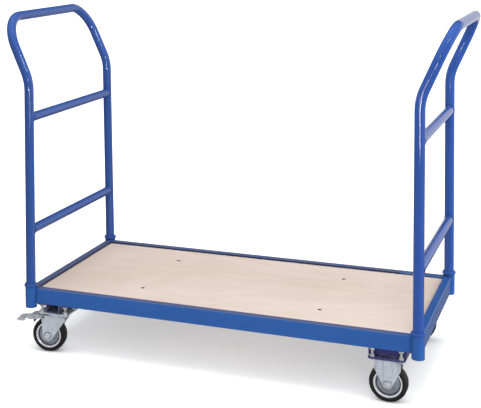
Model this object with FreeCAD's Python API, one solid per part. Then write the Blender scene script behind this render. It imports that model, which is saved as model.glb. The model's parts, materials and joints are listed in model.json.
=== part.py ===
import FreeCAD, Part
import math
import os

# Platform trolley: a plywood deck in a welded steel frame, two plug-in push handles,
# braked swivel casters at the left end and fixed casters at the right end.
# Millimetres, +Z up. X runs along the length (left is -X), Y across (front is -Y).
# The origin is the middle of the footprint, on the floor. Heights are counted from
# a datum LIFT above the floor, and export() raises every piece by LIFT.

os.makedirs("parts", exist_ok=True)
Vector = FreeCAD.Vector

LIFT = 4.0
ENDS = (("left", -1), ("right", 1))     # sign of X
SIDES = (("front", -1), ("back", 1))    # sign of Y

# Frame of rectangular tube
POST_X = 600.0            # post axis, half spacing along the length
POST_Y = 300.0            # post axis, half spacing across the width
RAIL_W = 25.0
RAIL_H = 48.0
RAIL_T = 2.0              # wall
RAIL_R = 2.5              # outer corner radius
RAIL_Z0 = 154.0           # underside of the frame
RAIL_ZC = RAIL_Z0 + RAIL_H / 2.0
SIDE_OUT = 300.0          # outer face of the side rails, |Y|
END_OUT = 610.0           # outer face of the end rails, |X|
SIDE_IN = SIDE_OUT - RAIL_W
END_IN = END_OUT - RAIL_W
RAIL_SPARE = 20.0         # extra length, cut off by the mitres
MITRE_REACH = 60.0        # mitre wedges reach this far past the rails' faces

# Corner sockets
SOCKET_R = 18.0
SOCKET_BORE_R = 15.08     # running clearance on the post
SOCKET_Z0 = 142.0
SOCKET_Z1 = 207.0

# Handles
TUBE_R = 15.0
TUBE_T = 2.0
POST_Z0 = 147.0           # lower end of the post inside its socket
LEAN_Z = 222.0            # the posts lean towards each other from here
LEAN = 0.016              # inward lean, mm per mm of height
BEND_Z = 856.0            # the handle bends outward here
TOP_Z = 1051.0            # axis of the top bar
TOP_OUT = 87.3            # the top bar stands this far outside the posts
BEND_RADII = [400.0, 140.0, 100.0]      # at LEAN_Z, BEND_Z and TOP_Z
BAR_R = 14.5
BAR_T = 1.5
BAR_HEIGHTS = (("lower", 386.0), ("upper", 741.0))
COLLAR_R = 21.0
COLLAR_H = 11.0

# Deck and the members under it
DECK_T = 12.0
DECK_GAP = 1.5
DECK_CORNER_R = 3.0
DECK_Z1 = 196.0
DECK_Z0 = DECK_Z1 - DECK_T
SCREW_ROWS = (6.0 - 284.0, 6.0 + 284.0)  # X of the rows, 6 mm off centre
SCREW_Y = 157.0
SCREW_R = 3.0
SCREW_L = 32.0            # from the deck's top to the screw's end
SCREW_HEAD_R = 6.2
SCREW_HEAD_H = 4.0        # depth of the countersink
SCREW_RIM_H = 0.8         # straight rim above its cone
CROSS_W = 40.0
CROSS_H = 25.0
CROSS_T = 2.0
CROSS_R = 2.5
LEDGE = 20.0              # leg length of the angle
LEDGE_T = 3.0
LEDGE_GAP = 2.0           # to the end rails

# Caster beams
BEAM_HALF_W = 53.0
TROUGH_HALF_W = 23.0      # bottom of the left beam
BEAM_T = 3.0
BEAM_BEND_R = 4.0
BEAM_END = 282.0          # the right beam stops short of the outer bolts
CASTER_H = 128.0          # top of the casters
FIXED_X = 513.0           # fixed caster centre
SWIVEL_X = -526.0         # swivel caster pivot
CASTER_Y = 260.0

# Caster plates and their bolts
PLATE_X = 104.0
PLATE_Y = 85.0
PLATE_T = 3.0
PLATE_R = 8.0
PLATE_Z0 = CASTER_H - PLATE_T
HOLE_X = 80.0             # hole spacing
HOLE_Y = 60.0
HOLE_R = 4.5
BOLT_R = 4.0
BOLT_L = 28.5             # from the plate's underside to the thread's end
BOLT_AF = 13.0            # across flats
BOLT_HEAD_H = 5.3
NUT_H = 6.8

# Wheels and axles
WHEEL_R = 54.0
WHEEL_W = 34.0
AXLE_Z = 50.0
LEG_IN = 19.5             # inner face of a caster leg, from the wheel's middle
LEG_T = 2.5
LEG_OUT = LEG_IN + LEG_T
AXLE_R = 5.0
AXLE_AF = 17.0
AXLE_HEAD_H = 6.4
AXLE_NUT_H = 8.0
AXLE_EXTRA = 11.0         # the bolt stands this far out of the far leg
SLEEVE_R = 6.0
HUB_INSET = WHEEL_W / 2.0 - (LEG_IN - 0.5)   # negative: the hub stands proud

# Half sections, (radius, distance in from the wheel's side)
RIM_HALF = [
    (6.05, HUB_INSET), (10.5, HUB_INSET), (10.5, 1.5), (13.5, 5.0), (16.0, 6.8),
    (28.0, 9.5), (32.8, 9.5), (35.2, 6.5), (36.2, 2.6), (37.4, 0.7), (39.5, 0.5),
]
TYRE_SEAT = [(39.2, 3.4), (40.4, 2.7), (40.8, 1.5)]    # shared by rim and tyre
TYRE_HALF = [
    (41.4, 0.4), (42.6, 0.0), (48.4, 0.0), (50.4, 0.8), (52.8, 4.0), (53.6, 6.0),
    (WHEEL_R, 8.5),
]

# Swivel casters; outlines are (x from the pivot, z)
TRAIL = 28.0              # the axle lies this far to the left of the pivot
TURN = 8.0                # the casters stand turned this far, in degrees
CROWN_R = 31.0
CROWN_Z0 = 112.0
CROWN_Z1 = 115.0
CROWN_EDGE_R = 2.4
FORK_X0 = -47.5
FORK_X1 = 24.0
FORK_BOTTOM_R = 17.0      # leg end around the axle
SWAGE = 1.8               # the pressed panel is this proud of the leg
PANEL_AXLE_R = 12.0       # panel cut back around the axle
CUP_R = 33.5              # ball race cup
CUP_BORE_R = 30.0
CUP_EDGE_R = 4.0
CUP_GAP = 0.6             # cup to crown
BALL_R = 3.0
BALL_COUNT = 16
RACE_R = 25.0
KING_R = 5.0
KING_HEAD_R = 9.0
KING_HEAD_H = 6.0
KING_GAP = 0.2            # pin head to crown
SWIVEL_LEG = [
    (FORK_X0, 99.0), (FORK_X0, CROWN_Z0 + 1.0), (FORK_X1, CROWN_Z0 + 1.0), (31.0, 103.5),
]

# Brakes; outlines are (x from the pivot, z)
BRAKE_X = -42.0           # pedal pin
BRAKE_Z = 107.3
BRAKE_PIN_R = 2.2
RIVET_R = 3.9
RIVET_H = 1.6
BARREL_R = 3.8
PEDAL_T = 2.5
PEDAL_HALF = 17.0
PAD_HALF = 25.0
PAD_X = -97.0             # the foot pad takes over from the channel here
SHOE_HALF = 14.0
SHOE_GAP = 0.2            # below the lever's web
SHOE_HOLLOW_R = WHEEL_R + 6.8
LEVER_TOP = [
    (-38.2, 111.2), (-49.0, 111.2), (-64.0, 115.2), (-84.0, 111.5), (PAD_X, 103.0),
    (-106.0, 99.5), (-130.0, 97.3),
]
LEVER_FLANGE = [
    (-38.2, 107.0), (-38.2, 111.2), (-49.0, 111.2), (-64.0, 115.2), (-84.0, 111.5),
    (PAD_X, 103.0), (-99.0, 98.0), (-86.0, 95.5), (-64.0, 98.0), (-49.0, 103.2),
    (-42.0, 103.6),
]
PAD_SECTION = [
    (-93.0, 105.6), (PAD_X, 103.0), (-106.0, 99.5), (-130.0, 97.3), (-131.6, 95.3),
    (-131.6, 91.0), (-129.0, 91.0), (-129.0, 94.8), (-106.0, 97.0), (-97.6, 100.3),
    (-93.0, 103.2),
]
# Front half of the pad's plan, (x, y) from the pivot
PAD_PLAN_HALF = [
    (-93.0, -PEDAL_HALF), (PAD_X, -PEDAL_HALF), (-103.0, -PAD_HALF),
    (-126.0, -PAD_HALF), (-133.0, -19.0),
]
PAD_RIM = [(-104.0, 99.6), (-104.0, 93.0), (-126.0, 91.2), (-126.0, 97.6)]
SHOE_BOTTOM = [(-56.0, 86.0), (-78.0, 86.0)]
SHOE_TOP = [(-78.0, 112.8), (-64.0, 115.2), (-56.0, 113.0)]   # level of the lever's top

# Fixed casters; outlines are (x from the centre, z)
FIXED_BOTTOM_R = 13.5     # leg end around the axle
FIXED_LEG = [(-36.5, 91.0), (-35.0, PLATE_Z0 + 1.0), (35.0, PLATE_Z0 + 1.0), (36.5, 91.0)]
# Right-hand turned-out edge of a leg; the left-hand one mirrors it
LEG_EDGE = [
    (36.4, 93.0), (35.0, PLATE_Z0 + 1.0), (32.4, PLATE_Z0 + 1.0), (33.4, 88.5), (35.2, 88.5),
]
LEG_EDGE_OUT = 3.0
LEG_RIB = [(-13.0, 0.0), (-9.0, 4.0), (9.0, 4.0), (13.0, 0.0)]   # (x, out of the leg)
RIB_Z0 = 60.5


# Helpers
def export(name, shape):
    shape = shape.copy()
    shape.translate(Vector(0, 0, LIFT))
    assert shape.Solids and all(solid.isValid() for solid in shape.Solids), name
    shape.exportStep("parts/%s.step" % name)


def clean(shape):
    # removeSplitter may fail or spoil a shape; then the shape stays as it is
    try:
        merged = shape.removeSplitter()
        if merged.isValid() and merged.Solids:
            return merged
    except Exception:
        pass
    return shape


def clean_solid(shape):
    return clean(shape).Solids[0]


def largest(shape):
    return max(shape.Solids, key=lambda solid: solid.Volume)


def mirrored(half):
    # half an outline, then its mirror image in the second coordinate
    return half + [(x, -y) for x, y in reversed(half)]


def box(x0, y0, z0, x1, y1, z1):
    return Part.makeBox(x1 - x0, y1 - y0, z1 - z0, Vector(x0, y0, z0))


def rod_z(radius, x, y, z, height):
    return Part.makeCylinder(radius, height, Vector(x, y, z))


def rod_y(radius, x, y, z, length):
    # a negative length runs towards -Y
    direction = Vector(0, math.copysign(1, length), 0)
    return Part.makeCylinder(radius, abs(length), Vector(x, y, z), direction)


def cross_rod(radius, x, y, z, half):
    # cylinder along Y, centred on y
    return rod_y(radius, x, y - half, z, 2 * half)


def polygon_face(points):
    points = [Vector(*point) for point in points]
    return Part.Face(Part.makePolygon(points + [points[0]]))


def prism_xy(points, z0, z1):
    return polygon_face([(x, y, z0) for x, y in points]).extrude(Vector(0, 0, z1 - z0))


def prism_xz(centre, points, y_from, y_to):
    # outline with x counted from the centre, extruded along Y
    y0, y1 = sorted((y_from, y_to))
    face = polygon_face([(centre + x, y0, z) for x, z in points])
    return face.extrude(Vector(0, y1 - y0, 0))


def revolve(points, axis_point, axis_direction):
    return polygon_face(points).revolve(Vector(*axis_point), Vector(*axis_direction), 360)


def long_edges(shape, axis):
    return [edge for edge in shape.Edges
            if abs(getattr(edge.tangentAt(edge.FirstParameter), axis)) > 0.99]


def circles_at(shape, axis, place):
    return [edge for edge in shape.Edges
            if abs(getattr(edge.CenterOfMass, axis) - place) < 0.01
            and len(edge.Vertexes) == 1]


def round_rect(width, height, radius):
    # rounded rectangle in the YZ plane, centred on the origin
    arcs = []
    for k, (y_sign, z_sign) in enumerate(((1, -1), (1, 1), (-1, 1), (-1, -1))):
        y = y_sign * (width / 2.0 - radius)
        z = z_sign * (height / 2.0 - radius)
        angles = [math.radians(90 * k - 90 + turn) for turn in (0, 45, 90)]
        arcs.append([Vector(0, y + radius * math.cos(a), z + radius * math.sin(a))
                     for a in angles])
    edges = []
    for k in range(4):
        edges.append(Part.LineSegment(arcs[k - 1][2], arcs[k][0]).toShape())
        edges.append(Part.Arc(*arcs[k]).toShape())
    return Part.Face(Part.Wire(edges))


def rect_tube(length, width, height, wall, radius):
    # hollow tube along X, centred on the origin
    along = Vector(length, 0, 0)
    bore = round_rect(width - 2 * wall, height - 2 * wall, max(radius - wall, 0.4))
    tube = round_rect(width, height, radius).extrude(along).cut(bore.extrude(along))
    tube.translate(Vector(-length / 2.0, 0, 0))
    return tube


def hexagon(flats, base, direction, height, bore=0.0):
    # bolt head from its bearing face outward; with a bore, a nut chamfered on both faces
    corner = flats / math.sqrt(3.0)
    flat_r = flats / 2.0 * 0.96
    bevel = (corner - flat_r) * math.tan(math.radians(30))
    outer = corner + 0.01
    angles = [math.radians(60 * k + 30) for k in range(6)]
    prism = polygon_face([(corner * math.cos(a), corner * math.sin(a), 0) for a in angles])
    prism = prism.extrude(Vector(0, 0, height))
    bottom = [(flat_r, 0, 0), (outer, 0, bevel)] if bore else [(outer, 0, 0)]
    top = [(outer, 0, height - bevel), (flat_r, 0, height), (0, 0, height)]
    prism = prism.common(revolve([(0, 0, 0)] + bottom + top, (0, 0, 0), (0, 0, 1)))
    if bore:
        prism = prism.cut(rod_z(bore, 0, 0, -1, height + 2))
    turn = FreeCAD.Rotation(Vector(0, 0, 1), Vector(*direction))
    prism.Placement = FreeCAD.Placement(Vector(*base), turn)
    return prism.Solids[0]


def fillet_wire(points, radii):
    # polyline with tangent arcs at its inner corners
    edges = []
    start = points[0]
    for before, corner, after, radius in zip(points, points[1:], points[2:], radii):
        back = (before - corner).normalize()
        ahead = (after - corner).normalize()
        half_angle = back.getAngle(ahead) / 2.0
        setback = radius / math.tan(half_angle)
        arc_start = corner + back * setback
        arc_end = corner + ahead * setback
        bisector = (back + ahead).normalize()
        centre = corner + bisector * (radius / math.sin(half_angle))
        edges.append(Part.LineSegment(start, arc_start).toShape())
        edges.append(Part.Arc(arc_start, centre - bisector * radius, arc_end).toShape())
        start = arc_end
    edges.append(Part.LineSegment(start, points[-1]).toShape())
    return Part.Wire(edges)


def sweep(points, radii, radius):
    points = [Vector(*point) for point in points]
    direction = (points[1] - points[0]).normalize()
    section = Part.Wire([Part.Circle(points[0], direction, radius).toShape()])
    tube = fillet_wire(points, radii).makePipeShell([section], True, True)
    # the pipe may come back as a shell or inside out
    if tube.ShapeType != "Solid":
        tube = Part.Solid(tube)
    if tube.Volume < 0:
        tube.reverse()
    return tube


# Frame
def mitre_wedge(end, side, corner):
    # waste beyond the 45 degree mitre; corner is its third point, as (|x|, |y|)
    points = [
        (END_IN - MITRE_REACH, SIDE_IN - MITRE_REACH),
        (END_OUT + MITRE_REACH, SIDE_OUT + MITRE_REACH),
        corner,
    ]
    return prism_xy([(end * x, side * y) for x, y in points], 100, 260)


def fit_rail(rail, wedges):
    for wedge in wedges:
        rail = rail.cut(wedge)
    for end in (-1, 1):
        for side in (-1, 1):
            rail = rail.cut(rod_z(SOCKET_R, end * POST_X, side * POST_Y, 0, 400))
    return clean(rail)


def side_rail(side):
    rail = rect_tube(2 * END_OUT + RAIL_SPARE, RAIL_W, RAIL_H, RAIL_T, RAIL_R)
    rail.translate(Vector(0, side * (SIDE_OUT - RAIL_W / 2.0), RAIL_ZC))
    corner = (END_OUT + MITRE_REACH, SIDE_IN - MITRE_REACH)
    return fit_rail(rail, [mitre_wedge(end, side, corner) for end in (-1, 1)])


def end_rail(end):
    rail = rect_tube(2 * SIDE_OUT + RAIL_SPARE, RAIL_W, RAIL_H, RAIL_T, RAIL_R)
    rail.rotate(Vector(0, 0, 0), Vector(0, 0, 1), 90)
    rail.translate(Vector(end * (END_OUT - RAIL_W / 2.0), 0, RAIL_ZC))
    corner = (END_IN - MITRE_REACH, SIDE_OUT + MITRE_REACH)
    return fit_rail(rail, [mitre_wedge(end, side, corner) for side in (-1, 1)])


def socket(x, y):
    tube = rod_z(SOCKET_R, x, y, SOCKET_Z0, SOCKET_Z1 - SOCKET_Z0)
    return tube.cut(rod_z(SOCKET_BORE_R, x, y, SOCKET_Z0 - 1, 100))


def cross_member(x):
    tube = rect_tube(2 * SIDE_IN, CROSS_W, CROSS_H, CROSS_T, CROSS_R)
    tube.rotate(Vector(0, 0, 0), Vector(0, 0, 1), 90)
    tube.translate(Vector(x, 0, DECK_Z0 - CROSS_H / 2.0))
    for side in (-1, 1):
        tube = tube.cut(rod_z(SCREW_R, x, side * SCREW_Y, DECK_Z0 - 6, 12))
    return tube


def deck_ledge(side):
    # steel angle along the side rail, notched for the cross members
    tip, web = SIDE_IN - LEDGE, SIDE_IN - LEDGE_T
    bottom, shelf = DECK_Z0 - LEDGE, DECK_Z0 - LEDGE_T
    section = [
        (tip, shelf), (tip, DECK_Z0), (SIDE_IN, DECK_Z0),
        (SIDE_IN, bottom), (web, bottom), (web, shelf),
    ]
    half = END_IN - LEDGE_GAP
    ledge = polygon_face([(-half, side * y, z) for y, z in section])
    ledge = ledge.extrude(Vector(2 * half, 0, 0))
    for x in SCREW_ROWS:
        ledge = ledge.cut(box(x - CROSS_W / 2.0, -SIDE_IN, DECK_Z0 - CROSS_H,
                              x + CROSS_W / 2.0, SIDE_IN, DECK_Z0))
    return ledge


# Deck
def screw_cone(x, y):
    return Part.makeCone(SCREW_R, SCREW_HEAD_R, SCREW_HEAD_H - SCREW_RIM_H,
                         Vector(x, y, DECK_Z1 - SCREW_HEAD_H), Vector(0, 0, 1))


def deck_panel(places):
    half_x, half_y = END_IN - DECK_GAP, SIDE_IN - DECK_GAP
    deck = box(-half_x, -half_y, DECK_Z0, half_x, half_y, DECK_Z1)
    deck = deck.makeFillet(DECK_CORNER_R, long_edges(deck, "z"))
    for x, y in places:
        rim = rod_z(SCREW_HEAD_R, x, y, DECK_Z1 - SCREW_RIM_H, SCREW_RIM_H)
        hole = rod_z(SCREW_R, x, y, DECK_Z0 - 1, DECK_T)
        deck = deck.cut(screw_cone(x, y).fuse(rim).fuse(hole))
    return clean(deck)


def deck_screw(x, y):
    top = rod_z(SCREW_HEAD_R, x, y, DECK_Z1 - SCREW_RIM_H, 0.5)
    shank = rod_z(SCREW_R, x, y, DECK_Z1 - SCREW_L, SCREW_L - SCREW_HEAD_H)
    screw = screw_cone(x, y).fuse(top).fuse(shank)
    # cross recess, turned 20 degrees
    for angle in (20, 110):
        slot = box(-3.4, -0.7, 0, 3.4, 0.7, 5)
        slot.rotate(Vector(0, 0, 0), Vector(0, 0, 1), angle)
        slot.translate(Vector(x, y, DECK_Z1 - 2.2))
        screw = screw.cut(slot)
    return clean_solid(screw)


for side_name, side in SIDES:
    export("side_rail_" + side_name, side_rail(side))
    export("deck_ledge_" + side_name, deck_ledge(side))
    for end_name, end in ENDS:
        export("socket_%s_%s" % (side_name, end_name), socket(end * POST_X, side * POST_Y))
for (end_name, end), row_x in zip(ENDS, SCREW_ROWS):
    export("end_rail_" + end_name, end_rail(end))
    export("cross_member_" + end_name, cross_member(row_x))

screw_places = [(x, side * SCREW_Y) for x in SCREW_ROWS for side in (-1, 1)]
export("deck_panel", deck_panel(screw_places))
export("deck_screws", Part.Compound([deck_screw(x, y) for x, y in screw_places]))


# Handles
def post_y(z):
    return POST_Y - LEAN * (z - LEAN_Z)


def handle_solid(end, radius):
    post_x = end * POST_X
    half = [
        (post_x, -POST_Y, POST_Z0), (post_x, -POST_Y, LEAN_Z),
        (post_x, -post_y(BEND_Z), BEND_Z), (end * (POST_X + TOP_OUT), -post_y(TOP_Z), TOP_Z),
    ]
    path = half + [(x, -y, z) for x, y, z in reversed(half)]
    return sweep(path, BEND_RADII + BEND_RADII[::-1], radius)


def handle_bar(x, z, handle):
    # cross bar, its ends cut to the posts
    half = post_y(z)
    bar = cross_rod(BAR_R, x, 0, z, half).cut(cross_rod(BAR_R - BAR_T, x, 0, z, half + 1))
    return largest(bar.cut(handle))


def collar(x, y):
    section = [
        (TUBE_R, 0), (COLLAR_R - 2.0, 0), (COLLAR_R, 2.5), (COLLAR_R, COLLAR_H - 4.0),
        (COLLAR_R - 1.4, COLLAR_H - 1.6), (TUBE_R + 1.2, COLLAR_H), (TUBE_R, COLLAR_H),
    ]
    points = [(x + radius, y, SOCKET_Z1 + z) for radius, z in section]
    return revolve(points, (x, y, 0), (0, 0, 1))


for end_name, end in ENDS:
    prefix = "handle_%s_" % end_name
    outer = handle_solid(end, TUBE_R)
    export(prefix + "tube", outer.cut(handle_solid(end, TUBE_R - TUBE_T)))
    for bar_name, z in BAR_HEIGHTS:
        export(prefix + "bar_" + bar_name, handle_bar(end * POST_X, z, outer))
    collars = [collar(end * POST_X, side * POST_Y) for side in (-1, 1)]
    export(prefix + "collars", Part.Compound(collars))


# Caster beams and bolts
def bolt_places(centre):
    return [(centre + x, side * CASTER_Y + y) for side in (-1, 1)
            for x in (-HOLE_X / 2, HOLE_X / 2) for y in (-HOLE_Y / 2, HOLE_Y / 2)]


def folded_beam(centre, section, bend_x, half):
    # section extruded across the frame, its lower bends rounded outside
    beam = prism_xz(centre, section, -half, half)
    bends = [edge for edge in long_edges(beam, "y")
             if abs(abs(edge.CenterOfMass.x - centre) - bend_x) < 0.01
             and abs(edge.CenterOfMass.z - CASTER_H) < 0.01]
    return beam.makeFillet(BEAM_BEND_R, bends)


def drill_beam(beam, centre):
    for x, y in bolt_places(centre):
        beam = beam.cut(rod_z(HOLE_R, x, y, CASTER_H - 5, 60))
    return clean(beam)


def beam_left():
    # trough standing on the caster plates, its flanges against the rails
    half, low = BEAM_HALF_W, TROUGH_HALF_W
    inner = low - BEAM_T
    floor, flange = CASTER_H + BEAM_T, RAIL_Z0 - BEAM_T
    section = [
        (-low, CASTER_H), (low, CASTER_H), (low, flange), (half, flange),
        (half, RAIL_Z0), (inner, RAIL_Z0), (inner, floor), (-inner, floor),
        (-inner, RAIL_Z0), (-half, RAIL_Z0), (-half, flange), (-low, flange),
    ]
    return drill_beam(folded_beam(SWIVEL_X, section, low, SIDE_OUT - 0.5), SWIVEL_X)


def beam_right():
    # wide channel with its flanges up and its ends closed
    half = BEAM_HALF_W
    inner, floor = half - BEAM_T, CASTER_H + BEAM_T
    section = [
        (-half, CASTER_H), (half, CASTER_H), (half, RAIL_Z0), (inner, RAIL_Z0),
        (inner, floor), (-inner, floor), (-inner, RAIL_Z0), (-half, RAIL_Z0),
    ]
    beam = folded_beam(FIXED_X, section, half, BEAM_END)
    for side in (-1, 1):
        y0, y1 = sorted((side * BEAM_END, side * (BEAM_END - BEAM_T)))
        beam = beam.fuse(box(FIXED_X - half + 1.0, y0, CASTER_H + 1.0,
                             FIXED_X + half - 1.0, y1, RAIL_Z0 - 1.5))
    return drill_beam(clean(beam), FIXED_X)


def caster_bolt(x, y):
    head = hexagon(BOLT_AF, (x, y, PLATE_Z0), (0, 0, -1), BOLT_HEAD_H)
    shank = rod_z(BOLT_R, x, y, PLATE_Z0, BOLT_L)
    shank = shank.makeChamfer(0.8, circles_at(shank, "z", PLATE_Z0 + BOLT_L))
    return clean_solid(head.fuse(shank))


def nut_heights(x, y):
    # undersides of the nuts on one bolt
    if x > 0 and abs(y) < BEAM_END:
        return [CASTER_H + BEAM_T]      # inside the right beam
    # one nut on the plate, one tight under the left beam's flange or the side rail
    return [CASTER_H, RAIL_Z0 - (BEAM_T if x < 0 else 0.0) - NUT_H]


export("caster_beam_left", beam_left())
export("caster_beam_right", beam_right())
bolt_xy = bolt_places(SWIVEL_X) + bolt_places(FIXED_X)
export("caster_bolts", Part.Compound([caster_bolt(x, y) for x, y in bolt_xy]))
export("caster_nuts", Part.Compound([
    hexagon(BOLT_AF, (x, y, z), (0, 0, 1), NUT_H, BOLT_R)
    for x, y in bolt_xy for z in nut_heights(x, y)]))


# Parts common to all casters; x, y is the plate's or the wheel's centre
def plate(x, y):
    sheet = box(x - PLATE_X / 2, y - PLATE_Y / 2, PLATE_Z0,
                x + PLATE_X / 2, y + PLATE_Y / 2, CASTER_H)
    sheet = sheet.makeFillet(PLATE_R, long_edges(sheet, "z"))
    for end in (-1, 1):
        for side in (-1, 1):
            sheet = sheet.cut(rod_z(HOLE_R, x + end * HOLE_X / 2, y + side * HOLE_Y / 2,
                                    CASTER_H - 10, 20))
    return sheet


def leg_sheet(centre, points, axle_x, radius, y_from, y_to):
    # outline from left to right, closed by tangents onto a disc around the axle
    def tangent(point, sign):
        x, z = point[0] - axle_x, point[1] - AXLE_Z
        angle = math.atan2(z, x) + sign * math.acos(radius / math.hypot(x, z))
        return (axle_x + radius * math.cos(angle), AXLE_Z + radius * math.sin(angle))

    closing = [tangent(points[-1], -1), (axle_x, AXLE_Z), tangent(points[0], 1)]
    y0, y1 = sorted((y_from, y_to))
    sheet = prism_xz(centre, points + closing, y0, y1)
    return sheet.fuse(rod_y(radius, centre + axle_x, y0, AXLE_Z, y1 - y0))


def wheel_ring(x, y, half):
    section = mirrored([(radius, WHEEL_W / 2.0 - inset) for radius, inset in half])
    points = [(x + radius, y + offset, AXLE_Z) for radius, offset in section]
    return revolve(points, (x, y, AXLE_Z), (0, 1, 0))


def rim(x, y):
    return wheel_ring(x, y, RIM_HALF + TYRE_SEAT[::-1])


def tyre(x, y):
    return wheel_ring(x, y, TYRE_SEAT + TYRE_HALF)


def sleeve(x, y):
    bore = cross_rod(AXLE_R, x, y, AXLE_Z, 30)
    return cross_rod(SLEEVE_R, x, y, AXLE_Z, LEG_IN).cut(bore)


def axle_bolt(x, y, head_side):
    head_y = y + head_side * LEG_OUT
    length = 2 * LEG_OUT + AXLE_EXTRA
    head = hexagon(AXLE_AF, (x, head_y, AXLE_Z), (0, head_side, 0), AXLE_HEAD_H)
    shank = rod_y(AXLE_R, x, head_y, AXLE_Z, -head_side * length)
    shank = shank.makeChamfer(1.0, circles_at(shank, "y", head_y - head_side * length))
    return clean_solid(head.fuse(shank))


def axle_nut(x, y, head_side):
    return hexagon(AXLE_AF, (x, y - head_side * LEG_OUT, AXLE_Z), (0, -head_side, 0),
                   AXLE_NUT_H, AXLE_R)


# Swivel casters; y is the pivot's
def swivel_plate(y):
    # top plate with the pressed ball race cup below it
    cup_z = CROWN_Z1 + CUP_GAP
    cup = rod_z(CUP_R, SWIVEL_X, y, cup_z, PLATE_Z0 - cup_z)
    cup = cup.makeFillet(CUP_EDGE_R, circles_at(cup, "z", PLATE_Z0))
    cup = cup.cut(rod_z(CUP_BORE_R, SWIVEL_X, y, CROWN_Z1, 2 * BALL_R))
    sheet = clean(plate(SWIVEL_X, y).fuse(cup))
    return sheet.cut(rod_z(KING_R, SWIVEL_X, y, 100, 50))


def race_balls(y):
    angles = [2 * math.pi * k / BALL_COUNT for k in range(BALL_COUNT)]
    return [Part.makeSphere(BALL_R, Vector(SWIVEL_X + RACE_R * math.cos(a),
                                           y + RACE_R * math.sin(a), CROWN_Z1 + BALL_R))
            for a in angles]


def king_pin(y):
    shoulder = CROWN_Z0 - KING_GAP
    bottom = shoulder - KING_HEAD_H
    pin = rod_z(KING_R, SWIVEL_X, y, shoulder, CASTER_H - shoulder)
    head = rod_z(KING_HEAD_R, SWIVEL_X, y, bottom, KING_HEAD_H)
    head = head.makeFillet(2.0, circles_at(head, "z", bottom))
    return clean_solid(pin.fuse(head))


def fork_leg(y_from, y_to):
    return leg_sheet(SWIVEL_X, SWIVEL_LEG, -TRAIL, FORK_BOTTOM_R, y_from, y_to)


def swivel_fork(y):
    # crown and two legs of pressed sheet
    axle_x = SWIVEL_X - TRAIL
    panel_x = SWIVEL_X + FORK_X0
    fork = rod_z(CROWN_R, SWIVEL_X, y, CROWN_Z0, CROWN_Z1 - CROWN_Z0)
    fork = fork.fuse(box(panel_x, y - LEG_OUT, CROWN_Z0,
                         SWIVEL_X + FORK_X1, y + LEG_OUT, CROWN_Z1))
    for side in (-1, 1):
        face = y + side * LEG_OUT
        proud = y + side * (LEG_OUT + SWAGE)
        fork = fork.fuse(fork_leg(y + side * LEG_IN, face))
        # pressed panel, proud of the leg, ending in a sloping fold
        panel = prism_xy([(panel_x, face), (panel_x, proud), (SWIVEL_X - 6.0, proud),
                          (SWIVEL_X + 0.5, face)], 30.0, CROWN_Z0 + 1.0)
        panel = panel.common(fork_leg(face - side * 0.5, proud + side * 0.5))
        panel = panel.cut(cross_rod(PANEL_AXLE_R, axle_x, y, AXLE_Z, 60))
        fork = fork.fuse(panel)
    fork = fork.cut(rod_z(KING_R + 0.1, SWIVEL_X, y, 90, 60))
    fork = fork.cut(cross_rod(AXLE_R, axle_x, y, AXLE_Z, 40))
    fork = clean(fork.cut(cross_rod(BRAKE_PIN_R, SWIVEL_X + BRAKE_X, y, BRAKE_Z, 40)))
    shoulders = [edge for edge in long_edges(fork, "x")
                 if abs(edge.CenterOfMass.z - CROWN_Z1) < 0.01
                 and abs(abs(edge.CenterOfMass.y - y) - LEG_OUT) < 0.01]
    # the fillet may fail where the shoulders meet the round crown; then they stay sharp
    try:
        rounded = fork.makeFillet(CROWN_EDGE_R, shoulders)
        if rounded.isValid():
            fork = rounded
    except Exception:
        pass
    return fork


def brake_pin(y):
    # pedal pivot pin, riveted in the fork
    x = SWIVEL_X + BRAKE_X
    half = LEG_OUT + SWAGE
    pin = cross_rod(BRAKE_PIN_R, x, y, BRAKE_Z, half)
    for side in (-1, 1):
        pin = pin.fuse(rod_y(RIVET_R, x, y + side * half, BRAKE_Z, side * RIVET_H))
    return clean(pin)


def foot_pad(y):
    pad = prism_xz(SWIVEL_X, PAD_SECTION, y - PAD_HALF, y + PAD_HALF)
    plan = [(SWIVEL_X + px, y + py) for px, py in mirrored(PAD_PLAN_HALF)]
    pad = pad.common(prism_xy(plan, 60, 130))
    # turned-down side rims
    for side in (-1, 1):
        pad = pad.fuse(prism_xz(SWIVEL_X, PAD_RIM, y + side * (PAD_HALF - PEDAL_T),
                                y + side * PAD_HALF))
    return pad


def brake_pedal(y):
    # lever: pressed channel with a wide foot pad and a pivot barrel
    pivot_x = SWIVEL_X + BRAKE_X
    under = [(x, z - PEDAL_T) for x, z in reversed(LEVER_TOP)]
    under[0] = (under[0][0] - 0.6, under[0][1])
    lever = prism_xz(SWIVEL_X, LEVER_TOP + under, y - PEDAL_HALF, y + PEDAL_HALF)
    for side in (-1, 1):
        lever = lever.fuse(prism_xz(SWIVEL_X, LEVER_FLANGE,
                                    y + side * (PEDAL_HALF - PEDAL_T),
                                    y + side * PEDAL_HALF))
    lever = lever.cut(box(SWIVEL_X - 160, y - 30, 60, SWIVEL_X + PAD_X, y + 30, 130))
    lever = lever.fuse(foot_pad(y))
    lever = lever.fuse(cross_rod(BARREL_R, pivot_x, y, BRAKE_Z, PEDAL_HALF))
    return clean(lever.cut(cross_rod(BRAKE_PIN_R + 0.05, pivot_x, y, BRAKE_Z, 20.0)))


def brake_shoe(y, pedal):
    # rubber block inside the lever, hollowed concentric with the tyre
    top = [(x, z - PEDAL_T - SHOE_GAP) for x, z in SHOE_TOP]
    shoe = prism_xz(SWIVEL_X, SHOE_BOTTOM + top, y - SHOE_HALF, y + SHOE_HALF)
    shoe = shoe.cut(cross_rod(SHOE_HOLLOW_R, SWIVEL_X - TRAIL, y, AXLE_Z, 20)).cut(pedal)
    return clean(largest(shoe))


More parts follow.
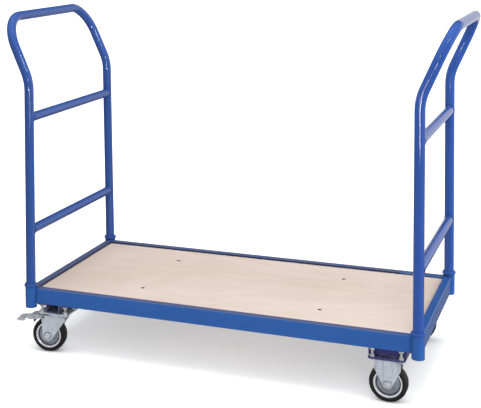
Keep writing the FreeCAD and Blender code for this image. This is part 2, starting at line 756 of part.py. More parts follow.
def export_turned(name, shape, side):
    shape = shape.copy()
    shape.rotate(Vector(SWIVEL_X, side * CASTER_Y, 0), Vector(0, 0, 1), -side * TURN)
    export(name, shape)


balls, king_pins = [], []
for side_name, side in SIDES:
    y = side * CASTER_Y
    wheel = (SWIVEL_X - TRAIL, y)
    pedal = brake_pedal(y)
    export("swivel_%s_plate" % side_name, swivel_plate(y))
    for pattern, shape in (
        ("swivel_%s_fork", swivel_fork(y)),
        ("brake_%s_pin", brake_pin(y)),
        ("brake_%s_pedal", pedal),
        ("brake_%s_shoe", brake_shoe(y, pedal)),
        ("swivel_%s_rim", rim(*wheel)),
        ("swivel_%s_tyre", tyre(*wheel)),
        ("swivel_%s_sleeve", sleeve(*wheel)),
        ("swivel_%s_axle_bolt", axle_bolt(*wheel, side)),
        ("swivel_%s_axle_nut", axle_nut(*wheel, side)),
    ):
        export_turned(pattern % side_name, shape, side)
    balls += race_balls(y)
    king_pins.append(king_pin(y))
export("swivel_race_balls", Part.Compound(balls))
export("swivel_king_pins", Part.Compound(king_pins))


# Fixed casters
def fixed_bracket(y):
    bracket = plate(FIXED_X, y)
    for side in (-1, 1):
        face = y + side * LEG_OUT
        bracket = bracket.fuse(leg_sheet(FIXED_X, FIXED_LEG, 0.0, FIXED_BOTTOM_R,
                                         y + side * LEG_IN, face))
        # pressed rib down the middle of the leg
        rib = [(FIXED_X + x, face + side * out) for x, out in LEG_RIB]
        bracket = bracket.fuse(prism_xy(rib, RIB_Z0, PLATE_Z0 + 1.0))
        for end in (-1, 1):
            edge = [(end * x, z) for x, z in LEG_EDGE]
            bracket = bracket.fuse(prism_xz(FIXED_X, edge, face, face + side * LEG_EDGE_OUT))
    return clean(bracket.cut(cross_rod(AXLE_R, FIXED_X, y, AXLE_Z, 40)))


sleeves, axle_bolts, axle_nuts = [], [], []
for side_name, side in SIDES:
    y = side * CASTER_Y
    export("fixed_%s_bracket" % side_name, fixed_bracket(y))
    export("fixed_%s_rim" % side_name, rim(FIXED_X, y))
    export("fixed_%s_tyre" % side_name, tyre(FIXED_X, y))
    sleeves.append(sleeve(FIXED_X, y))
    axle_bolts.append(axle_bolt(FIXED_X, y, -side))
    axle_nuts.append(axle_nut(FIXED_X, y, -side))
export("fixed_axle_sleeves", Part.Compound(sleeves))
export("fixed_axle_bolts", Part.Compound(axle_bolts))
export("fixed_axle_nuts", Part.Compound(axle_nuts))
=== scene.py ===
import json
import math

import bpy
from mathutils import Matrix, Vector


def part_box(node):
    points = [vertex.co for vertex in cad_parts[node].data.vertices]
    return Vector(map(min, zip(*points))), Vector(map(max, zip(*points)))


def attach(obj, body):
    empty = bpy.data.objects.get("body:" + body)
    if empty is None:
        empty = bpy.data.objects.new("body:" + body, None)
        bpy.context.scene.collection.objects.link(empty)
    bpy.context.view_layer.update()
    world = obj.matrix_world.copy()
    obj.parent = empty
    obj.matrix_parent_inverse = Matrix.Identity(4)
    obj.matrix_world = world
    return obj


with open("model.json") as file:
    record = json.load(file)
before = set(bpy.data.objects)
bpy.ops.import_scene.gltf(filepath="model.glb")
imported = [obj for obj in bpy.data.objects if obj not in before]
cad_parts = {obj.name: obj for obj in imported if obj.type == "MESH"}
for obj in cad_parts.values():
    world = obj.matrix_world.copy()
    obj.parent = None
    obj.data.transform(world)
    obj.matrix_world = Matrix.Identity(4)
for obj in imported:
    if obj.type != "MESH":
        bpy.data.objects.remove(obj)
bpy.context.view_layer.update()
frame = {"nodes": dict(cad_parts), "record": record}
NODES = frame["nodes"]
scene = bpy.context.scene


# ----------------------------------------------------------------- node tools
def lin(*rgb):
    # sRGB 0-255 to linear
    out = []
    for c in rgb:
        c = c / 255.0
        out.append(c / 12.92 if c <= 0.04045 else ((c + 0.055) / 1.055) ** 2.4)
    return tuple(out) + (1.0,)


class Mat:
    def __init__(self, name):
        self.m = bpy.data.materials.new(name)
        self.m.use_nodes = True
        self.nt = self.m.node_tree
        self.nt.nodes.clear()
        self.out = self.nt.nodes.new("ShaderNodeOutputMaterial")
        self.b = self.nt.nodes.new("ShaderNodeBsdfPrincipled")
        self.nt.links.new(self.b.outputs[0], self.out.inputs[0])
        tc = self.nt.nodes.new("ShaderNodeTexCoord")
        self.co = tc.outputs["Object"]
        self.geo = self.nt.nodes.new("ShaderNodeNewGeometry")

    def put(self, sock, v):
        if isinstance(v, bpy.types.NodeSocket):
            self.nt.links.new(v, sock)
        else:
            sock.default_value = v

    def node(self, kind, props=None, **inputs):
        n = self.nt.nodes.new(kind)
        for k, v in (props or {}).items():
            setattr(n, k, v)
        for k, v in inputs.items():
            self.put(n.inputs[k.replace("_", " ")], v)
        return n

    def math(self, op, a, b=0.0, c=0.0, clamp=False):
        n = self.nt.nodes.new("ShaderNodeMath")
        n.operation = op
        n.use_clamp = clamp
        self.put(n.inputs[0], a)
        self.put(n.inputs[1], b)
        if len(n.inputs) > 2:
            self.put(n.inputs[2], c)
        return n.outputs[0]

    def scaled(self, s, off=(0, 0, 0), rot=(0, 0, 0)):
        n = self.nt.nodes.new("ShaderNodeMapping")
        self.put(n.inputs["Vector"], self.co)
        n.inputs["Scale"].default_value = s if isinstance(s, tuple) else (s, s, s)
        n.inputs["Location"].default_value = off
        n.inputs["Rotation"].default_value = rot
        return n.outputs[0]

    def noise(self, scale, detail=3.0, rough=0.5, vec=None, distortion=0.0):
        n = self.node("ShaderNodeTexNoise", Scale=scale, Detail=detail, Roughness=rough, Distortion=distortion)
        self.put(n.inputs["Vector"], vec if vec is not None else self.co)
        return n.outputs["Fac"]

    def voronoi(self, scale, vec=None, feature="F1", out="Distance", rand=1.0):
        n = self.node("ShaderNodeTexVoronoi", {"feature": feature}, Scale=scale, Randomness=rand)
        self.put(n.inputs["Vector"], vec if vec is not None else self.co)
        return n.outputs[out]

    def ramp(self, fac, stops, interp="LINEAR"):
        n = self.nt.nodes.new("ShaderNodeValToRGB")
        n.color_ramp.interpolation = interp
        e = n.color_ramp.elements
        while len(e) > 1:
            e.remove(e[-1])
        e[0].position, e[0].color = stops[0][0], self._c(stops[0][1])
        for p, c in stops[1:]:
            x = e.new(p)
            x.color = self._c(c)
        self.put(n.inputs[0], fac)
        return n.outputs[0]

    def _c(self, c):
        return (c, c, c, 1.0) if isinstance(c, (int, float)) else c

    def mix(self, f, a, b, blend="MIX"):
        n = self.nt.nodes.new("ShaderNodeMix")
        n.data_type = "RGBA"
        n.blend_type = blend
        self.put(n.inputs[0], f)
        self.put(n.inputs[6], a)
        self.put(n.inputs[7], b)
        return n.outputs[2]

    def remap(self, v, a, b, c, d):
        n = self.nt.nodes.new("ShaderNodeMapRange")
        self.put(n.inputs[0], v)
        for k, x in enumerate((a, b, c, d)):
            self.put(n.inputs[k + 1], x)
        return n.outputs[0]

    def bump(self, height, strength, distance, normal=None):
        n = self.node("ShaderNodeBump", Strength=strength, Distance=distance, Height=height)
        if normal is not None:
            self.put(n.inputs["Normal"], normal)
        return n.outputs[0]

    def edge(self, radius, lo=0.02, hi=0.25):
        # 1 on convex and concave edges, 0 on flat faces, and the rounded normal
        bv = self.node("ShaderNodeBevel", {"samples": 4}, Radius=radius)
        d = self.nt.nodes.new("ShaderNodeVectorMath")
        d.operation = "DOT_PRODUCT"
        self.put(d.inputs[0], bv.outputs[0])
        self.put(d.inputs[1], self.geo.outputs["Normal"])
        return self.remap(self.math("SUBTRACT", 1.0, d.outputs["Value"]), lo, hi, 0.0, 1.0), bv.outputs[0]

    def xyz(self, v=None):
        n = self.node("ShaderNodeSeparateXYZ")
        self.put(n.inputs[0], v if v is not None else self.co)
        return n.outputs[0], n.outputs[1], n.outputs[2]

    def up(self):
        return self.xyz(self.geo.outputs["Normal"])[2]

    def set(self, **kw):
        for k, v in kw.items():
            self.put(self.b.inputs[k.replace("_", " ")], v)


# ------------------------------------------------------------------ materials
JOINTS = {j["name"]: j for j in frame["record"]["behaviour"]["joints"]}


def shade(c, k):
    return tuple(min(1.0, x * k) for x in c[:3]) + (1.0,)


DECK_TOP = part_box("deck_panel")[1].z
RAIL_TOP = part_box("side_rail_front")[1].z


def blue_paint(name, base, weld=False, painted_top_reflection=0.0):
    m = Mat(name)
    big = m.noise(4.0, 4.0, 0.55)
    mid = m.noise(42.0, 5.0, 0.6)
    fine = m.noise(520.0, 2.0, 0.5)
    c = m.ramp(m.math("MULTIPLY_ADD", big, 0.6, m.math("MULTIPLY", mid, 0.4)), [
        (0.30, shade(base, 0.93)), (0.52, base), (0.75, shade(base, 1.07))])
    # painted shade: the powder coat is darkened where the surface turns away from the view
    lw = m.node("ShaderNodeLayerWeight", Blend=0.5)
    c = m.mix(m.remap(lw.outputs["Facing"], 0.45, 0.95, 0.0, 0.42), c, shade(base, 0.35))
    # thin film of dust on faces that look up
    dust = m.math("MULTIPLY", m.remap(m.up(), 0.5, 1.0, 0.0, 1.0), m.remap(m.noise(9.0, 6.0, 0.7), 0.45, 0.75, 0.0, 0.05))
    c = m.mix(dust, c, lin(140, 150, 170))
    if painted_top_reflection:
        # painted reflection and shade: faces that look up take a grey-blue tone, fading out towards the right end
        # between x 0.50 and 0.59
        k = m.math("MULTIPLY", m.remap(m.up(), 0.6, 0.95, 0.0, painted_top_reflection), m.remap(m.xyz()[0], 0.50, 0.59, 1.0, 0.0))
        c = m.mix(k, c, lin(84, 88, 112))
        # painted shade, with some dirt: the inward faces of the rail strip that stands above the deck are darkened
        nx, ny, nz = m.xyz(m.geo.outputs["Normal"])
        px, py, pz = m.xyz()
        inward = m.math("LESS_THAN", m.math("MULTIPLY_ADD", nx, px, m.math("MULTIPLY", ny, py)), -0.15)
        level = m.math("MULTIPLY", m.math("GREATER_THAN", pz, DECK_TOP - 0.002), m.math("LESS_THAN", pz, RAIL_TOP + 0.0004))
        rail = m.math("MULTIPLY", m.math("LESS_THAN", px, 0.45), m.math("LESS_THAN", m.math("ABSOLUTE", py), 0.2757))
        k = m.math("MULTIPLY", m.math("MULTIPLY", inward, level), rail)
        c = m.mix(m.math("MULTIPLY", k, 0.90), c, lin(26, 24, 54))
    # paint thins and rubs through on a few edges; every edge is also darkened, which in the inner corners is painted
    # shade
    e, nb = m.edge(0.0011)
    chips = m.math("MULTIPLY", e, m.remap(m.noise(75.0, 6.0, 0.75), 0.62, 0.70, 0.0, 1.0), clamp=True)
    chips = m.math("MULTIPLY", chips, 0.35)
    c = m.mix(m.math("MULTIPLY", e, 0.30, clamp=True), c, shade(base, 0.55))
    c = m.mix(chips, c, lin(120, 140, 176))
    # painted shade: darker in corners and along the seams, where ambient occlusion is low
    ao = m.node("ShaderNodeAmbientOcclusion", {"samples": 5, "only_local": False}, Distance=0.012)
    ao_shade = m.remap(ao.outputs["AO"], 0.40, 0.86, 0.80, 0.0)
    c = m.mix(ao_shade, c, shade(base, 0.16))
    # faint hair scratches
    sc = m.noise(34.0, 8.0, 0.85, m.scaled((1.0, 1.0, 9.0), rot=(0.3, 0.2, 0.4)))
    scm = m.remap(sc, 0.67, 0.69, 0.0, 0.10)
    c = m.mix(scm, c, shade(base, 1.6))
    rough = m.remap(m.math("ADD", m.math("MULTIPLY", mid, 0.6), m.math("MULTIPLY", big, 0.4)), 0.3, 0.7, 0.065, 0.105)
    rough = m.math("ADD", rough, m.math("MULTIPLY", dust, 2.5))
    rough = m.math("ADD", rough, m.math("MULTIPLY", chips, 0.25))
    rough = m.math("ADD", rough, m.math("MULTIPLY", scm, 0.8))
    peel = m.noise(330.0, 2.0, 0.4)
    h = m.math("ADD", m.math("MULTIPLY", peel, 1.0), m.math("MULTIPLY", fine, 0.25))
    if weld:
        h = m.math("ADD", h, m.math("MULTIPLY", m.noise(700.0, 3.0, 0.6), 1.2))
    nrm = m.bump(h, 0.009 if not weld else 0.4, 0.0004, nb)
    nrm = m.bump(m.math("MULTIPLY", chips, -1.0), 0.3, 0.0003, nrm)
    m.set(Base_Color=c, Roughness=rough, Normal=nrm, IOR=1.46, Specular_IOR_Level=0.5)
    return m.m


def plywood(name, z0, z1):
    m = Mat(name)
    x, y, z = m.xyz()
    # contour-like figure of a rotary-cut birch veneer
    field = m.noise(1.0, 2.2, 0.5, m.scaled((1.5, 3.6, 1.0), off=(0.7, 0.35, 0)), 0.5)
    ring = m.math("SINE", m.math("MULTIPLY", field, 120.0))
    ring2 = m.math("SINE", m.math("MULTIPLY_ADD", field, 47.0, m.math("MULTIPLY", m.noise(3.0, 3.0), 4.0)))
    fade = m.remap(m.noise(1.7, 2.0, 0.5, m.scaled((1.0, 1.6, 1.0), off=(4.0, 1.0, 0))), 0.40, 0.62, 0.15, 1.0)
    ringm = m.math("MULTIPLY", m.remap(ring, 0.2, 1.0, 0.0, 1.0), fade)
    fibre = m.noise(1.0, 3.0, 0.7, m.scaled((26.0, 820.0, 40.0)))
    long1 = m.noise(1.0, 6.0, 0.62, m.scaled((4.0, 46.0, 10.0)), 0.9)
    big = m.noise(1.0, 3.0, 0.55, m.scaled((1.3, 2.2, 1.0)))
    g = m.math("ADD", m.math("MULTIPLY", big, 0.55), m.math("MULTIPLY", long1, 0.15))
    g = m.math("ADD", g, m.math("MULTIPLY", fibre, 0.12))
    g = m.math("ADD", g, m.math("MULTIPLY", ring2, 0.030))
    face = m.ramp(g, [(0.28, lin(185, 168, 156)), (0.46, lin(196, 180, 170)), (0.66, lin(203, 189, 180))])
    face = m.mix(m.math("MULTIPLY", ringm, 0.16), face, lin(178, 154, 138))
    # short dark pore flecks
    fleck = m.noise(1.0, 2.0, 0.5, m.scaled((60.0, 1300.0, 50.0)))
    flm = m.remap(fleck, 0.68, 0.78, 0.0, 0.28)
    face = m.mix(flm, face, lin(168, 138, 118))
    # a few knot shadows and scuffs left by loads
    sc = m.noise(7.0, 9.0, 0.85, m.scaled((1.0, 3.5, 1.0), rot=(0, 0, 0.7)))
    scm = m.remap(sc, 0.67, 0.71, 0.0, 0.14)
    face = m.mix(scm, face, lin(190, 168, 152))
    # plies on the cut edge
    n = 9.0
    t = m.math("MULTIPLY", m.math("DIVIDE", m.math("SUBTRACT", z, z0), z1 - z0), n)
    t = m.math("ADD", t, m.math("MULTIPLY", m.math("SUBTRACT", m.noise(60.0, 2.0), 0.5), 0.25))
    alt = m.math("PINGPONG", t, 1.0)
    glue = m.remap(m.math("ABSOLUTE", m.math("SUBTRACT", m.math("FRACT", t), 0.5)), 0.42, 0.5, 0.0, 0.7)
    end = m.mix(m.remap(alt, 0.45, 0.55, 0.0, 1.0), lin(201, 168, 128), lin(150, 112, 78))
    end = m.mix(m.math("MULTIPLY", m.noise(900.0, 2.0, 0.7), 0.35), end, lin(110, 76, 50))
    end = m.mix(glue, end, lin(70, 44, 30))
    side = m.remap(m.math("ABSOLUTE", m.up()), 0.4, 0.7, 1.0, 0.0)
    col = m.mix(side, face, end)
    e, nb = m.edge(0.0012)
    col = m.mix(m.math("MULTIPLY", e, 0.45, clamp=True), col, lin(168, 138, 116))
    # painted shade: dark along the seam under the rails' edge and in other hollows, where ambient occlusion is low
    ao = m.node("ShaderNodeAmbientOcclusion", {"samples": 6, "only_local": False}, Distance=0.012)
    ao_shade = m.remap(ao.outputs["AO"], 0.45, 0.88, 0.75, 0.0)
    col = m.mix(ao_shade, col, lin(44, 36, 44))
    rough = m.remap(g, 0.3, 0.75, 0.62, 0.50)
    rough = m.math("ADD", rough, m.math("MULTIPLY", scm, 0.6))
    h = m.math("ADD", m.math("MULTIPLY", long1, 0.3), m.math("MULTIPLY", fibre, 0.8))
    h = m.math("SUBTRACT", h, m.math("MULTIPLY", flm, 0.8))
    h = m.math("SUBTRACT", h, m.math("MULTIPLY", ringm, 0.3))
    m.set(Base_Color=col, Roughness=rough, Normal=m.bump(h, 0.22, 0.0005, nb), IOR=1.5, Specular_IOR_Level=0.3)
    return m.m


def galvanised(name, base=(212, 218, 228), rough=(0.26, 0.44), metal=0.40, painted=None):
    m = Mat(name)
    cell = m.node("ShaderNodeTexVoronoi", {"feature": "F1"}, Scale=210.0, Randomness=1.0)
    m.put(cell.inputs["Vector"], m.scaled(1.0))
    warp = m.noise(60.0, 3.0)
    sp = m.xyz(cell.outputs["Color"])[0]
    big = m.noise(16.0, 5.0, 0.6)
    c = m.ramp(m.math("ADD", m.math("MULTIPLY", sp, 0.22), m.math("MULTIPLY", big, 0.78)), [
        (0.25, shade(lin(*base), 0.80)), (0.5, lin(*base)), (0.8, shade(lin(*base), 1.14))])
    e, nb = m.edge(0.0007)
    c = m.mix(m.math("MULTIPLY", e, 0.40, clamp=True), c, lin(232, 236, 240))
    # painted shade with some grime: darker in low places and along seams, where ambient occlusion is low, varied by
    # noise
    ao = m.node("ShaderNodeAmbientOcclusion", {"samples": 4, "only_local": False}, Distance=0.010)
    shade_and_grime = m.math("MULTIPLY", m.remap(ao.outputs["AO"], 0.30, 0.90, 0.85, 0.0), m.remap(warp, 0.3, 0.6, 0.55, 1.0))
    c = m.mix(shade_and_grime, c, lin(58, 60, 70))
    scr = m.noise(120.0, 6.0, 0.85, m.scaled((1.0, 1.0, 0.12), rot=(0.1, 0.25, 0)))
    r = m.remap(m.math("ADD", m.math("MULTIPLY", sp, 0.4), m.math("MULTIPLY", big, 0.6)), 0.2, 0.8, rough[0], rough[1])
    r = m.math("ADD", r, m.math("MULTIPLY", shade_and_grime, 0.25))
    r = m.math("ADD", r, m.remap(scr, 0.6, 0.68, 0.0, 0.10))
    nrm = m.bump(m.math("ADD", m.math("MULTIPLY", sp, 0.4), m.math("MULTIPLY", scr, 0.5)), 0.10, 0.0003, nb)
    if painted:
        # above edge_z the plate takes the beam's navy tint, smoother and not metallic
        x, y, z = m.xyz()
        edge_z, coat = painted
        k = m.math("GREATER_THAN", m.math("ADD", z, m.math("MULTIPLY", m.noise(300.0, 2.0), 0.0004)), edge_z)
        tint = m.ramp(m.noise(30.0, 4.0, 0.6), [(0.3, shade(coat, 0.85)), (0.7, shade(coat, 1.1))])
        c = m.mix(k, c, tint)
        r = m.math("MULTIPLY_ADD", k, -0.12, r)
        metal = m.math("MULTIPLY_ADD", k, -metal, metal)
    m.set(Base_Color=c, Metallic=metal, Roughness=r, Normal=nrm)
    return m.m


def zinc_bolt(name, coord, lo, hi, pitch, tone=(224, 226, 232)):
    # electro-zinc fastener; thread relief where coord lies between lo and hi
    m = Mat(name)
    s = coord(m)
    inside = m.math("MULTIPLY", m.math("GREATER_THAN", s, lo), m.math("LESS_THAN", s, hi))
    th = m.math("ABSOLUTE", m.math("SUBTRACT", m.math("FRACT", m.math("DIVIDE", s, pitch)), 0.5))
    th = m.math("MULTIPLY", m.math("MULTIPLY", th, 2.0), inside)
    big = m.noise(110.0, 4.0, 0.6)
    c = m.ramp(big, [(0.3, shade(lin(*tone), 0.72)), (0.55, lin(*tone)), (0.8, lin(232, 232, 226))])
    # painted shade in the thread grooves
    c = m.mix(m.math("MULTIPLY", m.math("SUBTRACT", inside, th), 0.6, clamp=True), c, lin(64, 64, 70))
    e, nb = m.edge(0.0006)
    c = m.mix(m.math("MULTIPLY", e, 0.5, clamp=True), c, lin(246, 246, 246))
    r = m.remap(m.noise(400.0, 3.0, 0.6), 0.3, 0.7, 0.18, 0.32)
    m.set(Base_Color=c, Metallic=0.45, Roughness=r, Normal=m.bump(th, 0.7, 0.0005, m.bump(m.noise(900.0, 2.0), 0.1, 0.0002, nb)))
    return m.m


def wheel_joint(node):
    which = "front" if "front" in node else "back"
    end = "left" if node.startswith("swivel") else "right"
    j = JOINTS["wheel_%s_%s_roll" % (which, end)]
    return Vector(j["pos_m"]), Vector(j["axis"]).normalized()


def dot(m, v, point):
    # (position - point) . v
    n = m.nt.nodes.new("ShaderNodeVectorMath")
    n.operation = "DOT_PRODUCT"
    m.put(n.inputs[0], m.co)
    n.inputs[1].default_value = v
    return m.math("SUBTRACT", n.outputs["Value"], point.dot(Vector(v)))


def radial(m, c, ax):
    u = Vector((ax.y, -ax.x, 0.0))
    dx, dz, along = dot(m, u, c), dot(m, (0, 0, 1), c), dot(m, ax, c)
    r = m.math("SQRT", m.math("ADD", m.math("MULTIPLY", dx, dx), m.math("MULTIPLY", dz, dz)))
    return r, m.math("ARCTAN2", dz, dx), along


def rim_steel(name, c, ax):
    m = Mat(name)
    r, a, y = radial(m, c, ax)
    comb = m.node("ShaderNodeCombineXYZ", X=m.math("MULTIPLY", r, 1400.0), Y=m.math("MULTIPLY", a, 2.2), Z=m.math("MULTIPLY", y, 60.0))
    turned = m.noise(1.0, 4.0, 0.6, comb.outputs[0])
    big = m.noise(38.0, 5.0, 0.6)
    col = m.ramp(m.math("ADD", m.math("MULTIPLY", turned, 0.35), m.math("MULTIPLY", big, 0.65)), [
        (0.25, lin(126, 130, 142)), (0.5, lin(166, 171, 182)), (0.8, lin(204, 208, 216))])
    # painted highlight: a near-white ring on the rim's lip, which is also less metallic and smoother
    lip = m.remap(r, 0.0352, 0.0362, 0.0, 1.0)
    col = m.mix(m.math("MULTIPLY", lip, 0.9), col, lin(244, 246, 250))
    # painted shade in the groove ring
    groove = m.remap(m.math("ABSOLUTE", m.math("SUBTRACT", r, 0.0334)), 0.0006, 0.0024, 0.85, 0.0)
    col = m.mix(groove, col, lin(36, 36, 48))
    hub = m.remap(m.math("ABSOLUTE", m.math("SUBTRACT", r, 0.0125)), 0.0006, 0.0022, 0.5, 0.0)
    col = m.mix(hub, col, lin(60, 62, 72))
    e, nb = m.edge(0.0006)
    rr = m.remap(turned, 0.3, 0.7, 0.22, 0.38)
    rr = m.math("SUBTRACT", rr, m.math("MULTIPLY", lip, 0.06))
    m.set(Base_Color=col, Metallic=m.math("MULTIPLY_ADD", lip, -0.35, 0.6), Roughness=rr, Normal=m.bump(turned, 0.10, 0.0003, nb))
    return m.m


def rubber_tyre(name, c, ax):
    m = Mat(name)
    r, a, y = radial(m, c, ax)
    comb = m.node("ShaderNodeCombineXYZ", X=m.math("MULTIPLY", r, 900.0), Y=m.math("MULTIPLY", a, 1.6), Z=m.math("MULTIPLY", y, 900.0))
    ring = m.noise(1.0, 3.0, 0.55, comb.outputs[0])
    big = m.noise(24.0, 5.0, 0.65)
    col = m.ramp(big, [(0.3, lin(22, 20, 22)), (0.55, lin(30, 27, 29)), (0.8, lin(40, 36, 37))])
    # tread picks up floor dust, the side wall carries fine mould rings
    tread = m.remap(r, 0.0505, 0.0532, 0.0, 1.0)
    dust = m.math("MULTIPLY", tread, m.remap(m.noise(90.0, 6.0, 0.7), 0.40, 0.75, 0.04, 0.30))
    col = m.mix(dust, col, lin(84, 77, 72))
    col = m.mix(m.remap(m.noise(13.0, 8.0, 0.8), 0.62, 0.74, 0.0, 0.14), col, lin(100, 94, 88))
    e, nb = m.edge(0.0010)
    col = m.mix(m.math("MULTIPLY", e, 0.20, clamp=True), col, lin(80, 75, 73))
    rr = m.remap(m.math("ADD", m.math("MULTIPLY", big, 0.5), m.math("MULTIPLY", ring, 0.5)), 0.3, 0.7, 0.38, 0.58)
    rr = m.math("ADD", rr, m.math("MULTIPLY", dust, 0.3))
    h = m.math("ADD", m.math("MULTIPLY", ring, 0.7), m.math("MULTIPLY", m.noise(1100.0, 2.0, 0.6), 0.5))
    m.set(Base_Color=col, Roughness=rr, Normal=m.bump(h, 0.22, 0.0004, nb), Specular_IOR_Level=0.32)
    return m.m


def rubber(name):
    m = Mat(name)
    big = m.noise(60.0, 5.0, 0.6)
    c = m.ramp(big, [(0.3, lin(26, 25, 27)), (0.6, lin(42, 40, 42)), (0.85, lin(66, 62, 60))])
    e, nb = m.edge(0.0012)
    c = m.mix(m.math("MULTIPLY", e, 0.3, clamp=True), c, lin(90, 86, 82))
    m.set(Base_Color=c, Roughness=m.remap(big, 0.3, 0.7, 0.5, 0.75), Normal=m.bump(m.noise(800.0, 3.0, 0.6), 0.3, 0.0004, nb))
    return m.m


def steel(name, tone, r0, r1):
    m = Mat(name)
    big = m.noise(150.0, 5.0, 0.6)
    c = m.ramp(big, [(0.3, shade(lin(*tone), 0.72)), (0.7, lin(*tone))])
    c = m.mix(m.remap(m.noise(420.0, 4.0, 0.7), 0.58, 0.72, 0.0, 0.35), c, lin(92, 76, 62))
    m.set(Base_Color=c, Metallic=0.8, Roughness=m.remap(big, 0.3, 0.7, r0, r1), Normal=m.bump(m.noise(1200.0, 2.0), 0.15, 0.0002))
    return m.m


def dark_screw(name):
    m = Mat(name)
    big = m.noise(260.0, 4.0, 0.6)
    c = m.ramp(big, [(0.3, lin(22, 20, 22)), (0.6, lin(40, 36, 36)), (0.85, lin(70, 64, 60))])
    c = m.mix(m.remap(m.xyz()[0], -0.1, 0.1, 0.0, 0.62), c, lin(128, 116, 104))
    e, nb = m.edge(0.0004)
    c = m.mix(m.math("MULTIPLY", e, 0.5, clamp=True), c, lin(130, 122, 114))
    m.set(Base_Color=c, Metallic=0.6, Roughness=m.remap(big, 0.3, 0.7, 0.35, 0.55), Normal=m.bump(big, 0.2, 0.0002, nb))
    return m.m


FRAME_BLUE = lin(42, 86, 153)
HANDLE_BLUE = lin(43, 76, 146)
NAVY = lin(56, 53, 106)
deck_lo, deck_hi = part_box("deck_panel")
MAT = {
    "blue": blue_paint("paint_blue_frame", FRAME_BLUE, painted_top_reflection=0.78),
    "blue_h": blue_paint("paint_blue_handle", HANDLE_BLUE),
    # painted shade: a darker copy of the handle paint for the left handle, which the light reaches less
    "blue_h_shaded": blue_paint("paint_blue_handle_left_shaded", lin(44, 73, 134)),
    "navy": blue_paint("paint_navy_beam", NAVY),
    # painted light: a lighter, greyer copy of the beam paint for the left beam, whose trough lies in shade
    "navy_lit": blue_paint("paint_navy_trough_lightened", lin(92, 92, 118)),
    "ply": plywood("birch_plywood", deck_lo.z, deck_hi.z),
    "galv": galvanised("zinc_sheet"),
    "galv_lever": galvanised("zinc_sheet_lever", (206, 210, 216), (0.24, 0.40), 0.5),
    "galv_fixed": galvanised("zinc_sheet_fixed", painted=(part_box("fixed_front_bracket")[1].z - 0.0034, NAVY)),
    "shoe": rubber("brake_rubber_black"),
    "steel": steel("bare_steel", (168, 166, 164), 0.22, 0.38),
    "screw": dark_screw("screw_black"),
    "weld": blue_paint("paint_blue_weld", FRAME_BLUE, True),
    "weld_h": blue_paint("paint_blue_weld_handle", HANDLE_BLUE, True),
    "weld_n": blue_paint("paint_navy_weld", NAVY, True),
}
bolt_lo, bolt_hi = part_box("caster_bolts")
MAT["bolt_z"] = zinc_bolt("zinc_bolt_vertical", lambda m: m.xyz()[2], bolt_hi.z - 0.020, bolt_hi.z, 0.00125, (222, 223, 228))
MAT["nut_z"] = zinc_bolt("zinc_nut_vertical", lambda m: m.xyz()[2], 9.0, 10.0, 0.00125, (216, 217, 222))
for n, o in NODES.items():
    if n.endswith("_rim"):
        mt = rim_steel(n + "_steel", *wheel_joint(n))
    elif n.endswith("_tyre"):
        mt = rubber_tyre(n + "_rubber", *wheel_joint(n))
    elif n == "deck_panel":
        mt = MAT["ply"]
    elif n == "deck_screws":
        mt = MAT["screw"]
    elif n.endswith("_shoe"):
        mt = MAT["shoe"]
    elif n.endswith("_pedal"):
        mt = MAT["galv_lever"]
    elif n.endswith("_bracket"):
        mt = MAT["galv_fixed"]
    elif n.endswith(("_fork", "_plate")):
        mt = MAT["galv"]
    elif n == "caster_bolts":
        mt = MAT["bolt_z"]
    elif n == "caster_nuts":
        mt = MAT["nut_z"]
    elif n == "fixed_axle_bolts":
        lo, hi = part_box(n)
        mt = zinc_bolt(n + "_zinc", lambda m: m.math("ABSOLUTE", m.xyz()[1]), hi.y - 0.012, hi.y, 0.0015)
    elif n.endswith("_axle_bolt"):
        c, ax = wheel_joint(n)
        sgn = 1.0 if "front" in n else -1.0
        mt = zinc_bolt(n + "_zinc", lambda m: m.math("MULTIPLY", dot(m, ax, c), sgn), 0.0215, 0.040, 0.0015)
    elif "axle_nut" in n:
        mt = zinc_bolt(n + "_zinc", lambda m: m.xyz()[1], 9.0, 10.0, 0.0015)
    elif n.endswith("_pin") or "sleeve" in n or n in ("swivel_race_balls", "swivel_king_pins"):
        mt = MAT["steel"]
    elif n == "caster_beam_left":
        mt = MAT["navy_lit"]
    elif n.startswith("caster_beam"):
        mt = MAT["navy"]
    elif n.startswith("handle_left"):
        mt = MAT["blue_h_shaded"]
    elif n.startswith("handle_"):
        mt = MAT["blue_h"]
    else:
        mt = MAT["blue"]
    for s in o.material_slots:
        s.material = mt


